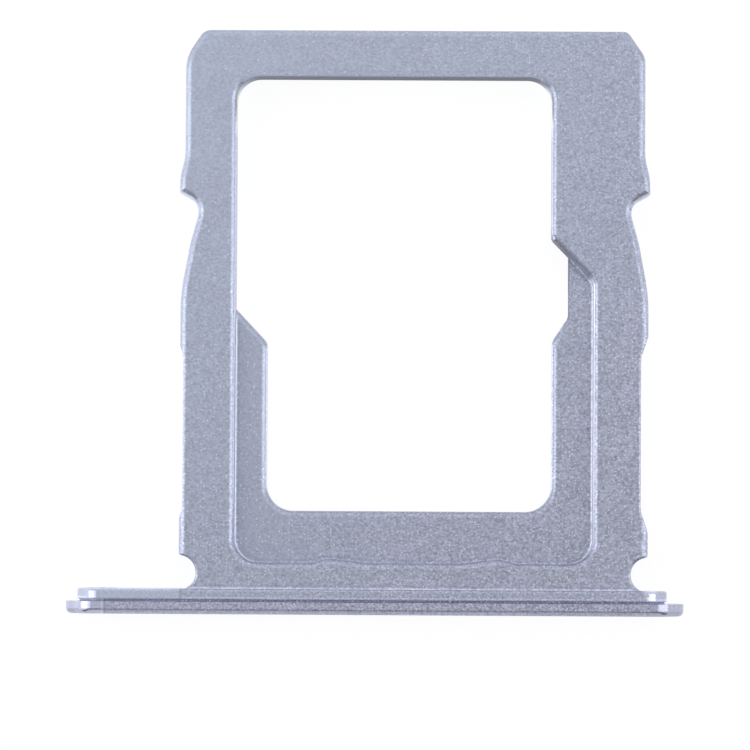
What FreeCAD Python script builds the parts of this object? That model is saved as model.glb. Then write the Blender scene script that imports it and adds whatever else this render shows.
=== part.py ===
import FreeCAD, Part
import math
import os
import Sketcher
from FreeCAD import Vector

# Memory card tray of a phone, milled from one piece of aluminium.
# X runs along the face plate, +Y is the way the tray goes into the phone, +Z is up.
# The plate's lower edge is at Z = 0, and the tray's overall box is centred on X and Y.
# The features are drawn in the body's own frame, where Y is counted from the plate's
# front face. The body's placement then brings the middle of the tray to Y = 0.

# Driving dimensions in millimetres, each with the name of its cell.
SIZES = [
    # Face plate, the part that shows on the closed phone, with a wing each side of the carrier
    ("left_wing", 3.51),
    ("right_wing", 1.13),
    ("plate_height", 1.90),
    ("plate_thickness", 0.385),
    ("plate_end_taper", 0.61),
    ("plate_shoulder_radius", 0.52),
    ("plate_nose_height", 0.54),
    ("plate_nose_radius", 0.56),
    ("plate_front_round", 0.17),
    # Fine groove that sets the plate off from its flange
    ("groove_width", 0.07),
    ("groove_depth", 0.06),
    # Stop flange behind the plate, a little smaller all round
    ("flange_thickness", 0.325),
    ("flange_step", 0.20),
    ("flange_left_inset", 0.355),
    ("flange_right_inset", 0.52),
    ("flange_end_taper", 0.45),
    ("flange_shoulder_radius", 0.42),
    ("flange_nose_height", 0.44),
    ("flange_nose_radius", 0.42),
    ("flange_back_round", 0.08),
    # Hole for the ejector pin in the plate's long wing
    ("pin_hole_diameter", 1.00),
    ("pin_hole_from_end", 1.10),
    # The card, a standard size, and its play in the pocket
    ("card_width", 11.00),
    ("card_length", 15.00),
    ("card_thickness", 0.70),
    ("card_narrow_width", 9.70),
    ("card_narrow_length", 4.99),
    ("card_step_length", 1.33),
    ("card_clearance", 0.10),
    ("card_recess", 0.12),
    # Carrier, the frame round the card
    ("rail_width", 1.58),
    ("tip_bar_width", 1.435),
    ("front_bar_end", 1.585),
    ("carrier_top_round", 0.20),
    ("carrier_under_round", 0.08),
    # Lead-in bevels at the tip
    ("right_bevel_width", 0.555),
    ("right_bevel_length", 0.80),
    ("right_tip_radius", 0.25),
    ("right_head_radius", 0.60),
    ("left_bevel_width", 0.57),
    ("left_bevel_length", 0.84),
    ("left_tip_radius", 0.40),
    ("left_head_radius", 1.20),
    # Tooth on each side that the phone's spring snaps behind
    ("head_length", 3.93),
    ("tooth_height", 0.16),
    ("tooth_ramp_length", 0.67),
    ("tooth_ramp_radius", 1.80),
    ("tooth_flat_length", 0.45),
    ("tooth_undercut", 0.36),
    # Catch notch below the tooth, which runs out in a long ramp that bends halfway
    ("notch_depth", 0.51),
    ("notch_radius", 0.50),
    ("notch_ramp_length", 2.80),
    ("ramp_bend_height", 0.295),
    ("ramp_bend_length", 1.22),
    ("ramp_bend_radius", 2.00),
    ("shoulder_height", 0.12),
    ("shoulder_radius", 5.50),
    # Shallow relief milled along each side, between shoulder and foot. The right one is
    # deeper than the round of the edge that it cuts, by the second size.
    ("left_relief_depth", 0.105),
    ("right_relief_past_round", 0.03),
    ("relief_start_at", 3.25),
    ("relief_length", 4.74),
    ("relief_radius", 0.60),
    ("relief_ramp_width", 0.50),
    ("relief_ramp_length", 1.45),
    ("right_relief_round", 0.06),
    # Half-round neck notches between the feet and the flange
    ("neck_notch_radius", 0.53),
    ("neck_notch_at", 1.28),
    ("neck_lip_round", 0.08),
    # Card pocket
    ("pocket_corner_radius", 0.75),
    ("pocket_step_top_radius", 0.22),
    ("pocket_step_foot_radius", 0.50),
    ("pocket_rim_round", 0.165),
    # Pair of low ribs on the pocket's front wall, which hold the card tight
    ("rib_spacing", 5.24),
    ("rib_height", 0.12),
    ("rib_top_width", 0.28),
    ("rib_outer_run", 0.39),
    ("rib_inner_run", 1.03),
    ("rib_radius", 0.22),
    # Ledge that the card lies on, round three sides of the opening
    ("ledge_thickness", 0.40),
    ("ledge_root", 0.30),
    ("ledge_round", 0.18),
    ("front_ledge_width", 1.62),
    ("left_ledge_width", 0.98),
    ("right_ledge_width", 1.265),
    ("right_strip_width", 0.76),
    ("left_window_length", 7.20),
    ("left_ledge_run", 1.05),
    ("right_window_length", 7.425),
    ("right_ledge_run", 0.74),
    ("ledge_corner_radius", 0.82),
    ("ledge_end_radius", 0.35),
]

# Distances that follow from the sizes, each a sum of named cells.
# Across the carrier they are counted from its centre line.
POCKET_SIDE = "card_width/2 + card_clearance/2"
POCKET_NARROW = "card_narrow_width - card_width/2 + card_clearance/2"
HEAD_SIDE = f"{POCKET_SIDE} + rail_width"
TOOTH_SIDE = f"{HEAD_SIDE} + tooth_height"
SHOULDER_SIDE = f"{HEAD_SIDE} + shoulder_height"
LEDGE_ROOT_SIDE = f"{POCKET_SIDE} + ledge_root"

# Across the plate they are counted from its middle.
CARRIER_CENTRE = "left_wing/2 - right_wing/2"
PLATE_END = f"{SHOULDER_SIDE} + left_wing/2 + right_wing/2"
FLANGE_INSETS = (" - flange_left_inset", " - flange_right_inset", " - flange_step")

# Along the carrier they are counted from the plate's front face.
GROOVE_BACK = "plate_thickness + groove_width"
FLANGE_BACK = f"{GROOVE_BACK} + flange_thickness"
POCKET_END = "front_bar_end + card_length + card_clearance"
TIP = f"{POCKET_END} + tip_bar_width"
HEAD_END = f"{TIP} - head_length"
TOOTH_TOP = f"{HEAD_END} - tooth_ramp_length"
TOOTH_POINT = f"{TOOTH_TOP} - tooth_flat_length"
NOTCH_CORNER = f"{TOOTH_POINT} - tooth_undercut"
RAMP_BEND = f"{NOTCH_CORNER} - ramp_bend_length"
SHOULDER_TOP = f"{NOTCH_CORNER} - notch_ramp_length"
STEP_TOP = f"{POCKET_END} - card_narrow_length"
STEP_FOOT = f"{STEP_TOP} - card_step_length"
OPENING_FRONT = "front_bar_end + front_ledge_width"

# Upwards they are counted from the plate's lower edge. The carrier is centred on the plate.
CARRIER_UNDERSIDE = "plate_height/2 - card_thickness/2 - card_recess/2 - ledge_thickness/2"
LEDGE_TOP = f"{CARRIER_UNDERSIDE} + ledge_thickness"
CARRIER_TOP = f"{LEDGE_TOP} + card_thickness + card_recess"

# Points closer than this count as lying on a face.
TOLERANCE = 0.001

doc = FreeCAD.newDocument("CardTray")
sheet = doc.addObject("Spreadsheet::Sheet", "Sizes")
for row, (cell_name, size) in enumerate(SIZES, start=1):
    sheet.set(f"A{row}", cell_name)
    sheet.set(f"B{row}", str(size))
    sheet.setAlias(f"B{row}", cell_name)
doc.recompute()


def amount(formula):
    """Value of a sum of sizes, such as "left_wing/2 - right_wing/2"."""
    total = 0.0
    sign = 1
    for term in formula.split():
        if term in ("+", "-"):
            sign = 1 if term == "+" else -1
            continue
        name, _, divisor = term.partition("/")
        total += sign * sheet.get(name) / float(divisor or 1)
    return total


def bound(formula):
    """The same sum as an expression on the sheet's cells."""
    return " ".join(term if term in ("+", "-") else f"Sizes.{term}" for term in formula.split())


def negative(formula):
    """The same sum with every sign turned round."""
    turned = {"+": "-", "-": "+"}
    terms = [turned.get(term, term) for term in formula.split()]
    return " ".join(terms[1:] if terms[0] == "+" else ["-"] + terms)


def add_sketch(body, name, role, offsets):
    """Sketch on one of the body's origin planes, shifted by sums of sizes."""
    sketch = body.newObject("Sketcher::SketchObject", name)
    plane = next(item for item in body.Origin.OriginFeatures if item.Role == role)
    sketch.AttachmentSupport = [(plane, "")]
    sketch.MapMode = "FlatFace"
    for axis, formula in offsets.items():
        sketch.setExpression(f"AttachmentOffset.Base.{axis}", bound(formula))
    doc.recompute()
    return sketch


def carrier_sketch(body, name):
    """Flat sketch at the carrier's underside, on its centre line."""
    return add_sketch(body, name, "XY_Plane", {"x": CARRIER_CENTRE, "z": CARRIER_UNDERSIDE})


def plate_sketch(body, name, depth):
    """Upright sketch on the plate's middle line, at a depth behind its front face."""
    return add_sketch(body, name, "XZ_Plane", {"y": "plate_height/2", "z": negative(depth)})


def place_point(sketch, item, end, across, along):
    """Dimension a point from the sketch's origin in both directions."""
    for kind, formula in (("DistanceX", across), ("DistanceY", along)):
        origin_first = amount(formula) > 0
        ends = (-1, 1, item, end) if origin_first else (item, end, -1, 1)
        length = formula if origin_first else negative(formula)
        index = sketch.addConstraint(Sketcher.Constraint(kind, *ends, amount(length)))
        sketch.setExpression(f"Constraints[{index}]", bound(length))


def size_radius(sketch, item, radius):
    """Dimension a circle or an arc by its radius."""
    index = sketch.addConstraint(Sketcher.Constraint("Radius", item, amount(radius)))
    sketch.setExpression(f"Constraints[{index}]", bound(radius))


def corner_arc(before, corner, after, radius):
    """Arc that rounds a corner, and the points where it leaves the two sides.

    The last value tells which ends of the arc meet the side before and the side after.
    """
    to_before = (before - corner).normalize()
    to_after = (after - corner).normalize()
    half_angle = to_before.getAngle(to_after) / 2
    middle = (to_before + to_after).normalize()
    centre = corner + middle * (radius / math.sin(half_angle))
    reach = radius / math.tan(half_angle)
    leaves = corner + to_before * reach
    joins = corner + to_after * reach
    turns_left = to_before.cross(to_after).z < 0
    ends = (leaves, joins) if turns_left else (joins, leaves)
    first, last = [math.atan2(point.y - centre.y, point.x - centre.x) for point in ends]
    if last < first:
        last += 2 * math.pi
    arc = Part.ArcOfCircle(Part.Circle(centre, Vector(0, 0, 1), radius), first, last)
    return arc, leaves, joins, (1, 2) if turns_left else (2, 1)


def draw_outline(sketch, corners):
    """Closed outline through the corners. Each is (across, along, radius or None)."""
    points = [Vector(amount(across), amount(along), 0) for across, along, _ in corners]
    roundings = []
    for index, (_, _, radius) in enumerate(corners):
        point = points[index]
        following = points[(index + 1) % len(points)]
        if radius:
            roundings.append(corner_arc(points[index - 1], point, following, amount(radius)))
        else:
            roundings.append((None, point, point, None))
    sides = []
    for index, (_, _, start, _) in enumerate(roundings):
        end = roundings[(index + 1) % len(roundings)][1]
        sides.append(sketch.addGeometry(Part.LineSegment(start, end)))
    for index, (across, along, radius) in enumerate(corners):
        side_in = sides[index - 1]
        side_out = sides[index]
        arc, _, _, arc_ends = roundings[index]
        if arc is None:
            sketch.addConstraint(Sketcher.Constraint("Coincident", side_in, 2, side_out, 1))
            place_point(sketch, side_out, 1, across, along)
            continue
        arc_item = sketch.addGeometry(arc)
        corner_item = sketch.addGeometry(Part.Point(points[index]), True)
        sketch.addConstraint([
            Sketcher.Constraint("Tangent", side_in, 2, arc_item, arc_ends[0]),
            Sketcher.Constraint("Tangent", arc_item, arc_ends[1], side_out, 1),
            Sketcher.Constraint("PointOnObject", corner_item, 1, side_in),
            Sketcher.Constraint("PointOnObject", corner_item, 1, side_out),
        ])
        size_radius(sketch, arc_item, radius)
        place_point(sketch, corner_item, 1, across, along)
    doc.recompute()


def draw_circle(sketch, across, along, radius):
    """Circle about a point. Without a height it is centred on the sketch's X axis."""
    centre = Vector(amount(across), amount(along) if along else 0, 0)
    circle = sketch.addGeometry(Part.Circle(centre, Vector(0, 0, 1), amount(radius)))
    size_radius(sketch, circle, radius)
    if along:
        place_point(sketch, circle, 3, across, along)
        return
    sketch.addConstraint(Sketcher.Constraint("PointOnObject", circle, 3, -1))
    index = sketch.addConstraint(Sketcher.Constraint("DistanceX", circle, 3, -1, 1, -centre.x))
    sketch.setExpression(f"Constraints[{index}]", bound(negative(across)))


def mirrored(half):
    """Corners of one half on the other side of the centre line, in the opposite order."""
    return [(negative(across), along, radius) for across, along, radius in half[::-1]]


def add_pad(body, name, sketch, thickness):
    """Material raised on a sketch: upwards from a flat one, forwards from an upright one."""
    pad = body.newObject("PartDesign::Pad", name)
    pad.Profile = sketch
    pad.setExpression("Length", bound(thickness))
    doc.recompute()


def add_cut(body, name, sketch):
    """Cut both ways from a sketch, right through the body. It has to take material away."""
    before = body.Shape.Volume
    cut = body.newObject("PartDesign::Pocket", name)
    cut.Profile = sketch
    cut.Type = "ThroughAll"
    cut.Midplane = True
    doc.recompute()
    if body.Shape.Volume >= before:
        raise RuntimeError(f"{name} takes nothing away")


def add_round(body, name, radius, wanted):
    """Round each edge of which three points pass the test."""
    base = body.Tip
    names = []
    for number, edge in enumerate(base.Shape.Edges, start=1):
        first, last = edge.ParameterRange
        samples = [edge.valueAt(first + (last - first) * share) for share in (0.02, 0.5, 0.98)]
        if all(wanted(point) for point in samples):
            names.append(f"Edge{number}")
    if not names:
        raise RuntimeError(f"{name} finds no edge")
    rounding = body.newObject("PartDesign::Fillet", name)
    rounding.Base = (base, names)
    rounding.setExpression("Radius", bound(radius))
    doc.recompute()


def same(value, formula):
    """Whether a coordinate is at a sum of sizes."""
    return abs(value - amount(formula)) < TOLERANCE


def between(value, low, high):
    """Whether a coordinate lies between two sums of sizes, or on one of them."""
    return amount(low) - TOLERANCE < value < amount(high) + TOLERANCE


def across(point):
    """Distance of a point to the right of the carrier's centre line."""
    return point.x - amount(CARRIER_CENTRE)


def add_carrier(body):
    """Frame with its lead-in bevels, teeth, catch notches, shoulders and feet."""
    right_half, left_half = [[
        (f"{HEAD_SIDE} - {side}_bevel_width", TIP, f"{side}_tip_radius"),
        (HEAD_SIDE, f"{TIP} - {side}_bevel_length", f"{side}_head_radius"),
        (HEAD_SIDE, HEAD_END, "tooth_ramp_radius"),
        (TOOTH_SIDE, TOOTH_TOP, "tooth_ramp_radius"),
        (TOOTH_SIDE, TOOTH_POINT, None),
        (f"{HEAD_SIDE} - notch_depth", NOTCH_CORNER, "notch_radius"),
        (f"{SHOULDER_SIDE} - ramp_bend_height", RAMP_BEND, "ramp_bend_radius"),
        (SHOULDER_SIDE, SHOULDER_TOP, "shoulder_radius"),
        (SHOULDER_SIDE, "plate_thickness", None),
    ] for side in ("right", "left")]
    outline = carrier_sketch(body, "CarrierOutline")
    draw_outline(outline, right_half + mirrored(left_half))
    add_pad(body, "Carrier", outline, "ledge_thickness + card_thickness + card_recess")

    def behind_plate(point):
        return point.y > amount("plate_thickness") + TOLERANCE

    add_round(body, "CarrierTopRound", "carrier_top_round",
              lambda point: same(point.z, CARRIER_TOP) and behind_plate(point))
    add_round(body, "CarrierUnderRound", "carrier_under_round",
              lambda point: same(point.z, CARRIER_UNDERSIDE) and behind_plate(point))


def add_neck_notches(body):
    """Half-round notch on each side between foot and flange, cut after the edges were rounded."""
    necks = carrier_sketch(body, "NeckNotchOutline")
    for side in (SHOULDER_SIDE, negative(SHOULDER_SIDE)):
        draw_circle(necks, side, "neck_notch_at", "neck_notch_radius")
    add_cut(body, "NeckNotches", necks)

    def on_lip(point):
        beside = same(across(point), SHOULDER_SIDE) or same(across(point), negative(SHOULDER_SIDE))
        return beside and same(point.y, "neck_notch_at + neck_notch_radius")

    add_round(body, "NeckLipRound", "neck_lip_round", on_lip)


def add_reliefs(body):
    """Shallow relief milled along each side, after the edges were rounded.

    The right one leaves a sharp edge on the top, which is rounded in turn.
    """
    top = "relief_start_at + relief_length"
    ramp_top = f"{top} + relief_ramp_length"
    ramp_foot = "relief_start_at - relief_ramp_length"
    right = f"{SHOULDER_SIDE} - carrier_top_round - right_relief_past_round"
    left = negative(f"{SHOULDER_SIDE} - left_relief_depth")
    for name, side, outward in (("RightRelief", right, "+"), ("LeftRelief", left, "-")):
        ramp_end = f"{side} {outward} relief_ramp_width"
        outline = carrier_sketch(body, f"{name}Outline")
        draw_outline(outline, [
            (ramp_end, ramp_top, None),
            (side, top, "relief_radius"),
            (side, "relief_start_at", "relief_radius"),
            (ramp_end, ramp_foot, None),
        ])
        add_cut(body, name, outline)

    def on_right_edge(point):
        beside = across(point) > amount(right) - TOLERANCE
        along = between(point.y, ramp_foot, ramp_top)
        return beside and along and same(point.z, CARRIER_TOP)

    add_round(body, "RightReliefRound", "right_relief_round", on_right_edge)


def add_pocket(body):
    """Card-shaped pocket, cut right through, with the two ribs on its front wall."""
    outer_top = "rib_spacing/2 + rib_top_width/2"
    inner_top = "rib_spacing/2 - rib_top_width/2"
    rib_top = "front_bar_end + rib_height"
    right_rib = [
        (f"{outer_top} + rib_outer_run", "front_bar_end", "rib_radius"),
        (outer_top, rib_top, "rib_radius"),
        (inner_top, rib_top, "rib_radius"),
        (f"{inner_top} - rib_inner_run", "front_bar_end", "rib_radius"),
    ]
    outline = carrier_sketch(body, "PocketOutline")
    draw_outline(outline, [
        (POCKET_NARROW, POCKET_END, "pocket_corner_radius"),
        (POCKET_NARROW, STEP_TOP, "pocket_step_top_radius"),
        (POCKET_SIDE, STEP_FOOT, "pocket_step_foot_radius"),
        (POCKET_SIDE, "front_bar_end", "pocket_corner_radius"),
        *right_rib,
        *mirrored(right_rib),
        (negative(POCKET_SIDE), "front_bar_end", "pocket_corner_radius"),
        (negative(POCKET_SIDE), POCKET_END, "pocket_corner_radius"),
    ])
    add_cut(body, "CardPocket", outline)

    def on_rim(point):
        beside = between(across(point), negative(POCKET_SIDE), POCKET_SIDE)
        along = between(point.y, "front_bar_end", POCKET_END)
        return beside and along and same(point.z, CARRIER_TOP)

    add_round(body, "PocketRimRound", "pocket_rim_round", on_rim)


def add_ledge(body):
    """Ledge that the card lies on, rooted in the frame. It leaves the contacts' window open."""
    left_end = f"{POCKET_END} - left_window_length"
    left_edge = negative(f"{POCKET_SIDE} - left_ledge_width")
    right_edge = f"{POCKET_SIDE} - right_ledge_width"
    strip_edge = f"{POCKET_SIDE} - right_strip_width"
    strip_foot = f"{POCKET_END} - right_window_length"
    front_root = "front_bar_end - ledge_root"
    outline = carrier_sketch(body, "LedgeOutline")
    draw_outline(outline, [
        (strip_edge, STEP_TOP, None),
        (LEDGE_ROOT_SIDE, STEP_TOP, None),
        (LEDGE_ROOT_SIDE, front_root, None),
        (negative(LEDGE_ROOT_SIDE), front_root, None),
        (negative(LEDGE_ROOT_SIDE), left_end, None),
        (negative(POCKET_SIDE), left_end, None),
        (left_edge, f"{left_end} - left_ledge_run", "ledge_end_radius"),
        (left_edge, OPENING_FRONT, "ledge_corner_radius"),
        (right_edge, OPENING_FRONT, "ledge_corner_radius"),
        (right_edge, f"{strip_foot} - right_ledge_run", "ledge_end_radius"),
        (strip_edge, strip_foot, "ledge_end_radius"),
    ])
    add_pad(body, "Ledge", outline, "ledge_thickness")

    def on_edge(point):
        beside = between(across(point), negative(POCKET_SIDE), strip_edge)
        along = between(point.y, OPENING_FRONT, STEP_TOP)
        return beside and along and same(point.z, LEDGE_TOP)

    add_round(body, "LedgeRound", "ledge_round", on_edge)


def add_bar(body, name, shape, insets, back, thickness):
    """Bar across the tray's front with blunt ends, set in from the plate's full outline.

    The insets are those of its left end, its right end and its long edges.
    """
    left_inset, right_inset, edge_inset = insets
    half_height = f"plate_height/2{edge_inset}"
    corners = []
    for outermost, inward in ((f"{PLATE_END}{right_inset}", "-"),
                              (negative(f"{PLATE_END}{left_inset}"), "+")):
        upper = [
            (f"{outermost} {inward} {shape}_end_taper", half_height, f"{shape}_shoulder_radius"),
            (outermost, f"{shape}_nose_height/2", f"{shape}_nose_radius"),
        ]
        lower = [(place, negative(height), radius) for place, height, radius in upper[::-1]]
        corners += upper + lower if inward == "-" else (upper + lower)[::-1]
    outline = plate_sketch(body, f"{name}Outline", back)
    draw_outline(outline, corners)
    add_pad(body, name, outline, thickness)


def add_flange(body):
    """Stop flange, which the carrier grows out of."""
    add_bar(body, "Flange", "flange", FLANGE_INSETS, FLANGE_BACK, "flange_thickness")

    def on_back_outline(point):
        beside = not between(across(point), negative(SHOULDER_SIDE), SHOULDER_SIDE)
        above_or_below = not between(point.z, CARRIER_UNDERSIDE, CARRIER_TOP)
        return same(point.y, FLANGE_BACK) and (beside or above_or_below)

    add_round(body, "FlangeBackRound", "flange_back_round", on_back_outline)


def add_plate(body):
    """Face plate, longer on the left of the carrier, and the hole for the ejector pin."""
    add_bar(body, "Plate", "plate", ("", "", ""), "plate_thickness", "plate_thickness")
    add_round(body, "PlateFrontRound", "plate_front_round", lambda point: abs(point.y) < TOLERANCE)
    groove_insets = [f"{inset} - groove_depth" for inset in FLANGE_INSETS]
    add_bar(body, "GrooveFloor", "flange", groove_insets, GROOVE_BACK, "groove_width")

    hole = plate_sketch(body, "PinHoleOutline", "plate_thickness")
    draw_circle(hole, negative(f"{PLATE_END} - pin_hole_from_end"), "", "pin_hole_diameter/2")
    add_cut(body, "PinHole", hole)


tray = doc.addObject("PartDesign::Body", "CardTray")
tray.Label = "card_tray"
tray.setExpression("Placement.Base.y", bound(" ".join(
    term if term in ("+", "-") else f"{term}/2" for term in negative(TIP).split())))
for add_feature in (add_carrier, add_pocket, add_ledge, add_neck_notches, add_reliefs,
                    add_flange, add_plate):
    add_feature(tray)
doc.recompute()

for item in doc.Objects:
    if "Invalid" in item.State or "Error" in item.State:
        raise RuntimeError(f"{item.Name} failed: {item.State}")
if tray.Shape.isNull() or not tray.Shape.isValid() or len(tray.Shape.Solids) != 1:
    raise RuntimeError("the tray is not one sound solid")

os.makedirs("parts", exist_ok=True)
tray.Shape.exportStep(f"parts/{tray.Label}.step")
print(f"{tray.Label}: {tray.Shape.Volume:.3f} cubic mm")
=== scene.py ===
import math

import bpy
from mathutils import Euler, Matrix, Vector

# The tray is one milled piece, so its CAD node stays and gets its finish here, with the studio
# round it. Lengths are in metres unless a comment says millimetres, angles in degrees.
MM = 0.001

# Camera, which looks almost straight down on the tray's pocket
CAMERA_TARGET = Vector((-0.017, -1.647, 1.56)) * MM
CAMERA_DISTANCE = 126.9 * MM
CAMERA_TILT_TO_FRONT = 2.03
CAMERA_TILT_TO_RIGHT = 0.57
CAMERA_ROLL = 0.33
SENSOR_WIDTH = 36.0
LENS = 197.0

# Lights
LIGHT_DISTANCE = 0.25
SOFTBOXES = [
    # name, azimuth from the front towards the right, lowest and highest elevation, width, radiance
    ("softbox_left", -90, 14, 72, 0.055, 1.0),
    ("softbox_right", 90, 10, 76, 0.055, 1.25),
]

# Radiance of the surroundings, by direction
SKY_LEFT = 0.98
SKY_RIGHT = 0.72
SKY_BACK = 0.78
SKY_ABOVE = 0.64
SKY_FRONT = 0.14
SKY_FRONT_HORIZON = 0.72

# Radiance of the floor as the metal mirrors it, a painted glow: beside the carrier, in its
# opening, in front of the plate, behind the tip, and in painted shade by the opening's walls
FLOOR_SIZE = 3.0
FLOOR_LEFT = 1.08
FLOOR_RIGHT = 0.95
FLOOR_INSIDE_LEFT = 0.85
FLOOR_INSIDE_RIGHT = 1.30
FLOOR_FRONT = 0.76
FLOOR_BACK = 0.76
FLOOR_PAINTED_SHADE = 0.26
# What the camera sees of it: its own glow, and its grey under the lights
FLOOR_SEEN = 0.88
FLOOR_GREY = 0.2

# Places in millimetres, in the object's frame. A pair is where something is absent and where it
# is full. Four values are where a band begins, where it is full, how far it stays full, and
# where it has ended. Along is measured by y, and across by x from the carrier's middle.
CARRIER_MIDDLE = 1.19
INSIDE_CARRIER = (6.2, 6.0)
FLANGE_ALONG = (-8.15, -8.20)
FLANGE_TOP_ALONG = (-8.59, -8.57, -8.31, -8.28)
PLATE_ALONG = (-8.60, -8.62)
PLATE_GRAIN_ALONG = (-8.60, -8.64)
PLATE_FRONT_EDGE_ALONG = (-8.90, -8.96)
SEAM_SHADE_ALONG = (-8.675, -8.660, -8.61, -8.60)
EDGE_HIGHLIGHT_ALONG = (-8.605, -8.59, -8.545, -8.52)
CORNER_HIGHLIGHT_ALONG = (-8.10, -8.20)
FRONT_ALONG = (-7.6, -8.3)
NEAR_TIP_ALONG = (5.6, 6.1)
TIP_RIM_ALONG = (6.20, 6.40, 7.75, 7.80)
TIP_RIM_ABOVE = (1.38, 1.44)
TOP_ABOVE = (1.45, 1.60)
LEDGE_BELOW = (1.1, 0.9)
SHORT_LEDGE_ALONG = (-0.70, -0.60, 2.20, 2.30)
SHORT_LEDGE_ACROSS = (4.55, 4.65, 5.15, 5.25)
SHORT_LEDGE_BELOW = (0.82, 0.78)
RIGHT_WALL_ACROSS = (4.6, 5.2)
TIP_SHADE_ALONG = (6.2, 6.7, 7.8, 8.2)
TIP_SHADE_ACROSS = (-5.3, -4.9, 3.7, 4.1)
STEP_SHADE_ALONG = (0.9, 1.2, 2.9, 3.1)
STEP_SHADE_ACROSS = (3.2, 3.6)
OPENING_ACROSS = (5.6, 5.2)
GLOSSY_ALONG = (-5.9, -5.6, 6.2, 6.6)
GLOSSY_ACROSS = (-4.5, -3.9, 3.9, 4.5)
FLOOR_FRONT_ALONG = (-9.1, -9.6)
FLOOR_BACK_ALONG = (9.0, 9.4)

# The same, but by x from the frame's middle
LEFT_SIDE = (-1.0, -3.0)
SMOOTH_END_OF_FLANGE = -5.98
SMOOTH_END_OF_PLATE = -8.30
POLISHED_LEFT = (-8.30, -8.50)
POLISHED_RIGHT = (8.45, 8.55)
FLANGE_END_HIGHLIGHT_ACROSS = (8.26, 8.42, 8.66, 8.74)
MARK_WIDTH = (0.045, 0.015)
TOOL_MARKS = [
    # x, brightness gain, whether it is on the plate
    (SMOOTH_END_OF_FLANGE, 0.72, False),
    (-8.40, 1.20, True),
    (-8.31, 0.72, True),
]

# The finish changes from the tip on the left to the front on the right, by x minus y
GRAIN_SPREAD = (-12.0, 12.0)
TINT_SPREAD = (-11.0, 11.0)
GRAIN_STRETCH = (13.0, 17.0, 17.0)
GRAIN_CONTRAST = (0.60, 1.50)
GRAIN_RELIEF = 0.003 * MM
MOTTLE_SCALE = 1.1
SPECK_SCALE = 10.0
SPECK_EDGE = (0.16, 0.34)
SPECK_SHARE = (0.06, 0.60)
POLISHED_ROUGHNESS = 0.22
GRAIN_ROUGHNESS = (0.38, 0.32)
TINT_AT_TIP = (0.577, 0.637, 0.799)
TINT_AT_FRONT = (0.481, 0.510, 0.648)
TINT_OF_MOTTLE = (0.545, 0.573, 0.728)
TINT_ON_PLATE = (1.0, 0.965, 0.985)
SPECK_COLOUR = (0.83, 0.88, 1.0)

# How open a place is tells its distance from a wall's foot: the fillet with its painted highlight,
# and the painted shade past it
CORNER_REACH = 0.15 * MM
FILLET_RADIUS = 0.09 * MM
CORNER_SAMPLES = 8
FILLET_OPENNESS = (0.42, 0.50, 0.72, 0.86)
CONTACT_SHADE_OPENNESS = (0.80, 0.88, 0.94, 0.99)
ROUNDED_OPENNESS = (0.97, 0.88)

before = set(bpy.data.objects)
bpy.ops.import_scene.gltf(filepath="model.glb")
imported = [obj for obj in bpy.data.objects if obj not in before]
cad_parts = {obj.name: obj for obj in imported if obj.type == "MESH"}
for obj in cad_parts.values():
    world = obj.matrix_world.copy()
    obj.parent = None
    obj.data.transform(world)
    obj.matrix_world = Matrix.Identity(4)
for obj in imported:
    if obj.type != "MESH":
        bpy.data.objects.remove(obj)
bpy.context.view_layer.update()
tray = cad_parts["card_tray"]


class Nodes:
    """Adds shader nodes to one tree and links them, so that materials read as formulas."""

    def __init__(self, tree):
        self.tree = tree
        tree.nodes.clear()

    def add(self, kind, inputs=None, **settings):
        node = self.tree.nodes.new(kind)
        for name, value in settings.items():
            setattr(node, name, value)
        for name, value in (inputs or {}).items():
            self.join(value, node.inputs[name])
        return node

    def join(self, value, socket):
        if isinstance(value, bpy.types.NodeSocket):
            self.tree.links.new(value, socket)
        else:
            socket.default_value = value

    def math(self, operation, first, second=0.0, clamp=False):
        node = self.add("ShaderNodeMath", {0: first, 1: second}, operation=operation)
        node.use_clamp = clamp
        return node.outputs[0]

    def times(self, product, *factors):
        for factor in factors:
            product = self.math("MULTIPLY", product, factor)
        return product

    def ramp(self, value, low, high, start=0.0, end=1.0, smooth=False):
        """Maps the range from low to high onto the range from start to end, clamped."""
        node = self.add("ShaderNodeMapRange", {"Value": value, "From Min": low, "From Max": high,
                                               "To Min": start, "To Max": end})
        node.interpolation_type = "SMOOTHSTEP" if smooth else "LINEAR"
        return node.outputs[0]

    def band(self, value, begin, full, full_to, end):
        """Gives 1 from full as far as full_to, falling to 0 at begin and end."""
        return self.times(self.ramp(value, begin, full), self.ramp(value, end, full_to))

    def choose(self, where, outside, inside):
        return self.ramp(where, 0.0, 1.0, outside, inside)

    def scale(self, value, where, gain):
        """Multiplies the value by the gain, only where the mask is 1."""
        return self.times(value, self.choose(where, 1.0, gain))

    def split(self, vector):
        parts = self.add("ShaderNodeSeparateXYZ", {0: vector}).outputs
        return parts["X"], parts["Y"], parts["Z"]

    def stretch(self, vector, factors):
        node = self.add("ShaderNodeVectorMath", {0: vector, 1: factors}, operation="MULTIPLY")
        return node.outputs[0]

    def place_in_mm(self):
        place = self.add("ShaderNodeTexCoord").outputs["Object"]
        return self.stretch(place, (1 / MM,) * 3)

    def mix(self, factor, first, second, blend="MIX"):
        node = self.add("ShaderNodeMix", data_type="RGBA", blend_type=blend)
        self.join(factor, node.inputs["Factor"])
        self.join(first, node.inputs["A"])
        self.join(second, node.inputs["B"])
        return node.outputs["Result"]

    def mix_vectors(self, factor, first, second):
        node = self.add("ShaderNodeMix", data_type="VECTOR")
        for name, value in [("Factor", factor), ("A", first), ("B", second)]:
            socket = [s for s in node.inputs if s.name == name and s.enabled][0]
            self.join(value, socket)
        return [s for s in node.outputs if s.enabled][0]

    def noise(self, place, scale, detail, seed):
        node = self.add("ShaderNodeTexNoise", {"Vector": place, "W": seed, "Scale": scale,
                                               "Detail": detail},
                        noise_dimensions="4D")
        return node.outputs[0]


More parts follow.
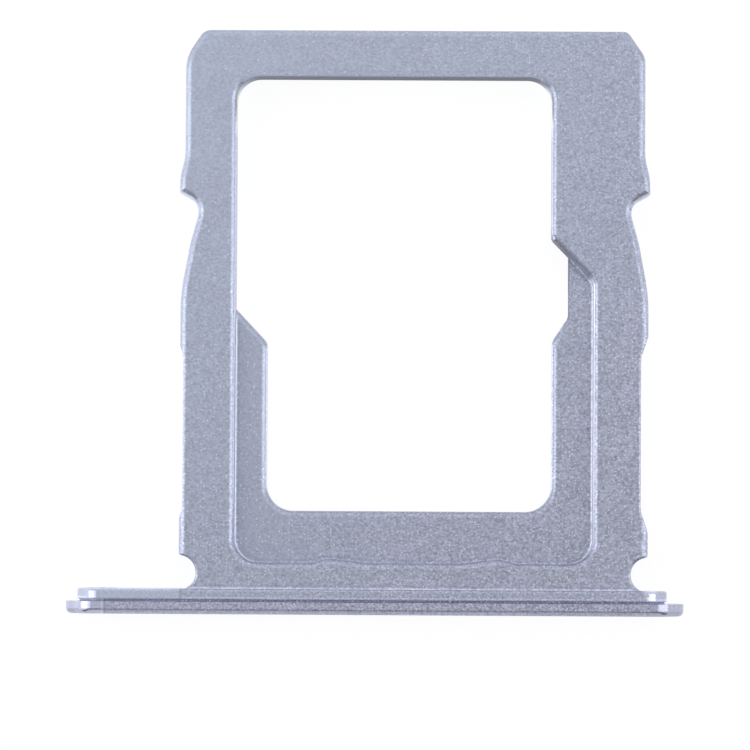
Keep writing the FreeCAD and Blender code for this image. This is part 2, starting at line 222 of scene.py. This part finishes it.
def colour(red, green, blue):
    return (red, green, blue, 1.0)


def new_material(name):
    material = bpy.data.materials.new(name)
    material.use_nodes = True
    return material, Nodes(material.node_tree)


def make_metal():
    """Fine bead-blasted and anodised aluminium, bluish silver, with an uneven speckled grain."""
    material, n = new_material("blasted_aluminium")
    in_mm = n.place_in_mm()
    x, y, z = n.split(in_mm)
    across = n.math("SUBTRACT", x, CARRIER_MIDDLE)
    aside = n.math("ABSOLUTE", across)
    lower_right = n.math("SUBTRACT", x, y)
    flat = n.add("ShaderNodeNewGeometry").outputs["Normal"]
    facing_right, facing_back, facing_up = n.split(flat)
    facing_aside = n.math("ABSOLUTE", facing_right)

    # The ends of flange and plate are smooth, polished in part, and pale on top at the left
    on_plate = n.ramp(y, *PLATE_ALONG)
    at_front = n.ramp(y, *FLANGE_ALONG)
    on_top = n.ramp(z, *TOP_ABOVE)
    left_end_at = n.choose(on_plate, SMOOTH_END_OF_FLANGE, SMOOTH_END_OF_PLATE)
    left_end = n.ramp(n.math("SUBTRACT", x, left_end_at), 0.01, -0.01)
    right_end = n.ramp(x, *POLISHED_RIGHT)
    smooth = n.times(n.math("ADD", left_end, right_end), at_front)
    smooth = n.math("ADD", smooth, n.ramp(y, *PLATE_FRONT_EDGE_ALONG), clamp=True)
    polish = n.times(n.math("ADD", n.ramp(x, *POLISHED_LEFT), right_end), at_front)
    pale_end = n.times(left_end, at_front, on_top)

    # The grain is weakest at the tip on the left and strongest on the plate. It is also weaker
    # on the left ledge, on the smooth ends and on the plate's front edge.
    contrast = n.ramp(lower_right, *GRAIN_SPREAD, *GRAIN_CONTRAST)
    contrast = n.times(contrast, n.ramp(y, *PLATE_GRAIN_ALONG, 1.0, 1.35))
    left_ledge = n.times(n.ramp(z, *LEDGE_BELOW), n.ramp(x, *LEFT_SIDE))
    contrast = n.scale(contrast, left_ledge, 0.60)
    contrast = n.scale(contrast, smooth, 0.60)
    contrast = n.scale(contrast, polish, 0.50)
    grain = n.noise(n.stretch(in_mm, GRAIN_STRETCH), 1.0, 1.0, seed=1.0)
    swing = n.times(n.math("SUBTRACT", grain, 0.5), contrast)
    brightness = n.math("ADD", n.ramp(y, *FRONT_ALONG, 1.0, 1.03), swing)

    # The paler left ends, a painted highlight on the flange's right end, and fine tool marks where
    # the smooth left ends begin
    brightness = n.scale(brightness, pale_end, 1.15)
    on_flange = n.math("SUBTRACT", at_front, on_plate)
    # Painted highlight on the flange's right end
    painted_end_highlight = n.times(n.band(x, *FLANGE_END_HIGHLIGHT_ACROSS), on_flange)
    brightness = n.scale(brightness, painted_end_highlight, 1.35)
    for mark, gain, is_on_plate in TOOL_MARKS:
        span = on_plate if is_on_plate else n.band(y, *FLANGE_TOP_ALONG)
        distance = n.math("ABSOLUTE", n.math("SUBTRACT", x, mark))
        here = n.times(n.ramp(distance, *MARK_WIDTH), span, on_top)
        brightness = n.scale(brightness, here, gain)

    # Painted shade darkens the seam in front of the flange, and a painted highlight lies on the
    # flange's edge beside it
    brightness = n.scale(brightness, n.band(y, *SEAM_SHADE_ALONG), 0.60)
    edge_highlight_gain = n.choose(pale_end, 1.50, 1.15)
    brightness = n.scale(brightness, n.band(y, *EDGE_HIGHLIGHT_ALONG), edge_highlight_gain)

    # Where a wall meets a floor, a painted highlight marks a small fillet, and painted shade lies
    # just past it
    corner = n.add("ShaderNodeAmbientOcclusion", {"Distance": CORNER_REACH},
                   samples=CORNER_SAMPLES, only_local=True)
    openness = corner.outputs["AO"]
    # Painted shade just past the fillet
    painted_contact_shade = n.times(n.band(openness, *CONTACT_SHADE_OPENNESS), n.ramp(facing_up, 0.5, 0.9))
    brightness = n.scale(brightness, painted_contact_shade, 0.82)
    fillet = n.add("ShaderNodeBevel", {"Radius": FILLET_RADIUS}, samples=CORNER_SAMPLES)
    fillet = fillet.outputs[0]
    fillet_aside = n.math("ABSOLUTE", n.split(fillet)[0])
    fillet_highlight_place = n.math("MAXIMUM", n.ramp(fillet_aside, 0.10, 0.25),
                       n.ramp(y, *CORNER_HIGHLIGHT_ALONG, 0.0, 0.65))
    # Painted highlight on the fillet, and on the corner at the flange's back
    painted_fillet_highlight = n.times(n.band(openness, *FILLET_OPENNESS), fillet_highlight_place)
    brightness = n.scale(brightness, painted_fillet_highlight, 1.60)

    # The inner walls of the long sides get painted light, most on the right and near the tip, and
    # the wall of the short ledge beside the card's step gets painted shade instead
    inner_wall = n.times(n.ramp(aside, *INSIDE_CARRIER), n.ramp(facing_aside, 0.7, 0.9))
    painted_right_wall_light = n.ramp(across, *RIGHT_WALL_ACROSS, 1.20, 2.0)
    painted_wall_shading = n.ramp(across, -1.0, 1.0, 1.03, painted_right_wall_light)
    painted_wall_shading = n.times(painted_wall_shading, n.ramp(y, *NEAR_TIP_ALONG, 1.0, 1.5))
    short_ledge = n.times(n.band(across, *SHORT_LEDGE_ACROSS), n.band(y, *SHORT_LEDGE_ALONG),
                          n.ramp(z, *SHORT_LEDGE_BELOW))
    painted_wall_shading = n.choose(short_ledge, painted_wall_shading, 0.75)
    brightness = n.scale(brightness, inner_wall, painted_wall_shading)

    # Fillets are shaded round. The pocket's rim at the tip and the short ledge's are shaded flat.
    turned_aside = n.math("SUBTRACT", facing_aside, n.math("ABSOLUTE", facing_back))
    tip_rim = n.times(n.band(y, *TIP_RIM_ALONG), n.ramp(z, *TIP_RIM_ABOVE),
                      n.ramp(aside, *INSIDE_CARRIER), n.ramp(turned_aside, 0.15, -0.15))
    short_rim = n.times(short_ledge, n.ramp(facing_up, 0.05, 0.15))
    normal = n.mix_vectors(n.ramp(openness, *ROUNDED_OPENNESS), flat, fillet)
    normal = n.mix_vectors(n.math("MAXIMUM", tip_rim, short_rim), normal, (0.0, 0.0, 1.0))

    # The tint is bluer at the tip and more purple at the front and on the plate
    mottle = n.noise(in_mm, MOTTLE_SCALE, 2.0, seed=3.0)
    mottled = n.ramp(mottle, 0.38, 0.62, 0.0, 0.4, smooth=True)
    tint = n.mix(n.ramp(lower_right, *TINT_SPREAD), colour(*TINT_AT_TIP), colour(*TINT_AT_FRONT))
    tint = n.mix(mottled, tint, colour(*TINT_OF_MOTTLE))
    plate_tint = n.mix(1.0, tint, colour(*TINT_ON_PLATE), blend="MULTIPLY")
    tint = n.mix(on_plate, tint, plate_tint)
    grey = n.add("ShaderNodeCombineColor", {0: brightness, 1: brightness, 2: brightness})
    base = n.mix(1.0, tint, grey.outputs[0], blend="MULTIPLY")

    # Bright specks, few at the tip on the left and many towards the front on the right
    specks = n.add("ShaderNodeTexVoronoi", {"Vector": in_mm, "Scale": SPECK_SCALE})
    spot = n.ramp(specks.outputs["Distance"], *SPECK_EDGE, 1.0, 0.0, smooth=True)
    draw = n.add("ShaderNodeSeparateColor", {0: specks.outputs["Color"]}).outputs[0]
    wanted = n.ramp(lower_right, *GRAIN_SPREAD, *SPECK_SHARE)
    chosen = n.math("GREATER_THAN", wanted, draw)
    sparkle = n.times(spot, chosen, n.choose(smooth, 0.90, 0.35))
    sparkle = n.scale(sparkle, polish, 0.3)
    base = n.mix(sparkle, base, colour(*SPECK_COLOUR))

    relief = n.choose(polish, 1.0, 0.4)
    bump = n.add("ShaderNodeBump", {"Strength": relief, "Distance": GRAIN_RELIEF,
                                    "Height": grain, "Normal": normal})
    blasted = n.ramp(grain, 0.3, 0.7, *GRAIN_ROUGHNESS)
    roughness = n.choose(polish, blasted, POLISHED_ROUGHNESS)
    surface = n.add("ShaderNodeBsdfPrincipled", {
        "Base Color": base, "Metallic": 1.0, "Roughness": roughness,
        "Normal": bump.outputs[0]})
    n.add("ShaderNodeOutputMaterial", {"Surface": surface.outputs[0]})
    return material


def make_floor():
    """Pale floor. The metal mirrors a painted glow in it, bright beside the carrier, darker before
    and behind the tray, and painted shade under the tip's wall and the card's step. In the middle
    of the opening it is glossy instead. The camera sees an even pale floor with soft shadows."""
    material, n = new_material("pale_floor")
    x, y, _ = n.split(n.place_in_mm())
    across = n.math("SUBTRACT", x, CARRIER_MIDDLE)
    in_opening = n.ramp(n.math("ABSOLUTE", across), *OPENING_ACROSS)
    outside = n.ramp(across, -6.0, 6.0, FLOOR_LEFT, FLOOR_RIGHT)
    inside = n.ramp(across, -4.0, 4.0, FLOOR_INSIDE_LEFT, FLOOR_INSIDE_RIGHT)
    glow = n.choose(in_opening, outside, inside)
    glow = n.ramp(y, *FLOOR_FRONT_ALONG, glow, FLOOR_FRONT)
    glow = n.ramp(y, *FLOOR_BACK_ALONG, glow, FLOOR_BACK)
    # Painted shade on the floor under the tip's wall and beside the card's step
    tip_shade = n.times(n.band(y, *TIP_SHADE_ALONG), n.band(across, *TIP_SHADE_ACROSS))
    step_shade = n.times(n.band(y, *STEP_SHADE_ALONG), n.ramp(across, *STEP_SHADE_ACROSS))
    shade = n.times(in_opening, n.math("MAXIMUM", tip_shade, step_shade))
    glow = n.choose(shade, glow, FLOOR_PAINTED_SHADE)
    lit = n.add("ShaderNodeEmission", {"Strength": glow})
    gloss = n.add("ShaderNodeBsdfGlossy", {"Color": colour(1, 1, 1), "Roughness": 0.2})
    glossy = n.times(n.band(across, *GLOSSY_ACROSS), n.band(y, *GLOSSY_ALONG))
    mirrored = n.add("ShaderNodeMixShader", {0: glossy, 1: lit.outputs[0], 2: gloss.outputs[0]})

    seen = n.add("ShaderNodeEmission", {"Strength": FLOOR_SEEN})
    matt = n.add("ShaderNodeBsdfDiffuse", {"Color": colour(FLOOR_GREY, FLOOR_GREY, FLOOR_GREY)})
    pale = n.add("ShaderNodeAddShader", {0: seen.outputs[0], 1: matt.outputs[0]})
    camera_ray = n.add("ShaderNodeLightPath").outputs["Is Camera Ray"]
    surface = n.add("ShaderNodeMixShader",
                    {0: camera_ray, 1: mirrored.outputs[0], 2: pale.outputs[0]})
    n.add("ShaderNodeOutputMaterial", {"Surface": surface.outputs[0]})

    half = FLOOR_SIZE / 2
    corners = [(-half, -half, 0), (half, -half, 0), (half, half, 0), (-half, half, 0)]
    mesh = bpy.data.meshes.new("floor")
    mesh.from_pydata(corners, [], [(0, 1, 2, 3)])
    mesh.materials.append(material)
    floor = bpy.data.objects.new("floor", mesh)
    bpy.context.scene.collection.objects.link(floor)


def make_sky():
    """Grey surroundings, pale at the left and the right and darkest high up at the front. A
    direction is told by its parts towards the right, the back and upwards. The camera itself
    sees them pale."""
    world = bpy.data.worlds.new("studio")
    world.use_nodes = True
    bpy.context.scene.world = world
    n = Nodes(world.node_tree)
    right, back, up = n.split(n.add("ShaderNodeTexCoord").outputs["Generated"])
    slant = n.math("DIVIDE", n.math("ABSOLUTE", back), n.math("ABSOLUTE", right))
    level = n.ramp(back, 0.1, 0.5, SKY_ABOVE, SKY_BACK, smooth=True)
    front_drop = n.ramp(back, -0.34, -0.04, SKY_ABOVE - SKY_FRONT, 0.0, smooth=True)
    horizon_rise = n.ramp(back, -0.62, -0.44, SKY_FRONT_HORIZON - SKY_FRONT, 0.0, smooth=True)
    horizon_rise = n.times(horizon_rise, n.ramp(slant, 1.4, 2.6, smooth=True))
    level = n.math("ADD", n.math("SUBTRACT", level, front_drop), horizon_rise)

    sideways = n.ramp(slant, 0.50, 0.85, 1.0, 0.0, smooth=True)
    below_top = n.ramp(up, 0.83, 0.93, 1.0, 0.0, smooth=True)
    sides = n.ramp(right, -0.1, 0.1, SKY_LEFT, SKY_RIGHT, smooth=True)
    level = n.choose(n.times(sideways, below_top), level, sides)

    camera_ray = n.add("ShaderNodeLightPath").outputs["Is Camera Ray"]
    strength = n.math("MAXIMUM", level, camera_ray)
    sky = n.add("ShaderNodeBackground", {"Color": colour(1, 1, 1), "Strength": strength})
    n.add("ShaderNodeOutputWorld", {"Surface": sky.outputs[0]})


def make_softbox(name, azimuth, lowest, highest, width, radiance):
    """Area light that faces the tray and spans a range of elevations."""
    light = bpy.data.lights.new(name, "AREA")
    light.shape = "RECTANGLE"
    light.size = width
    light.size_y = 2 * LIGHT_DISTANCE * math.tan(math.radians(highest - lowest) / 2)
    light.energy = radiance * math.pi * light.size * light.size_y
    box = bpy.data.objects.new(name, light)
    a, e = math.radians(azimuth), math.radians((lowest + highest) / 2)
    outward = Vector((math.sin(a) * math.cos(e), -math.cos(a) * math.cos(e), math.sin(e)))
    box.location = outward * LIGHT_DISTANCE
    box.rotation_euler = outward.to_track_quat("Z", "Y").to_euler()
    box.visible_camera = False
    bpy.context.scene.collection.objects.link(box)


def make_camera():
    camera = bpy.data.objects.new("camera", bpy.data.cameras.new("camera"))
    camera.data.sensor_width = SENSOR_WIDTH
    camera.data.lens = LENS
    camera.data.clip_start = CAMERA_DISTANCE / 100
    tilt = Euler((math.radians(CAMERA_TILT_TO_FRONT), 0, 0)).to_matrix()
    swing = Euler((0, math.radians(CAMERA_TILT_TO_RIGHT), 0)).to_matrix()
    roll = Euler((0, 0, math.radians(CAMERA_ROLL))).to_matrix()
    turn = swing @ tilt @ roll
    camera.rotation_euler = turn.to_euler()
    camera.location = CAMERA_TARGET + turn @ Vector((0, 0, CAMERA_DISTANCE))
    bpy.context.scene.collection.objects.link(camera)
    bpy.context.scene.camera = camera


tray.data.materials.clear()
tray.data.materials.append(make_metal())

make_floor()
make_sky()
for softbox in SOFTBOXES:
    make_softbox(*softbox)
make_camera()
bpy.context.scene.view_settings.view_transform = "Standard"
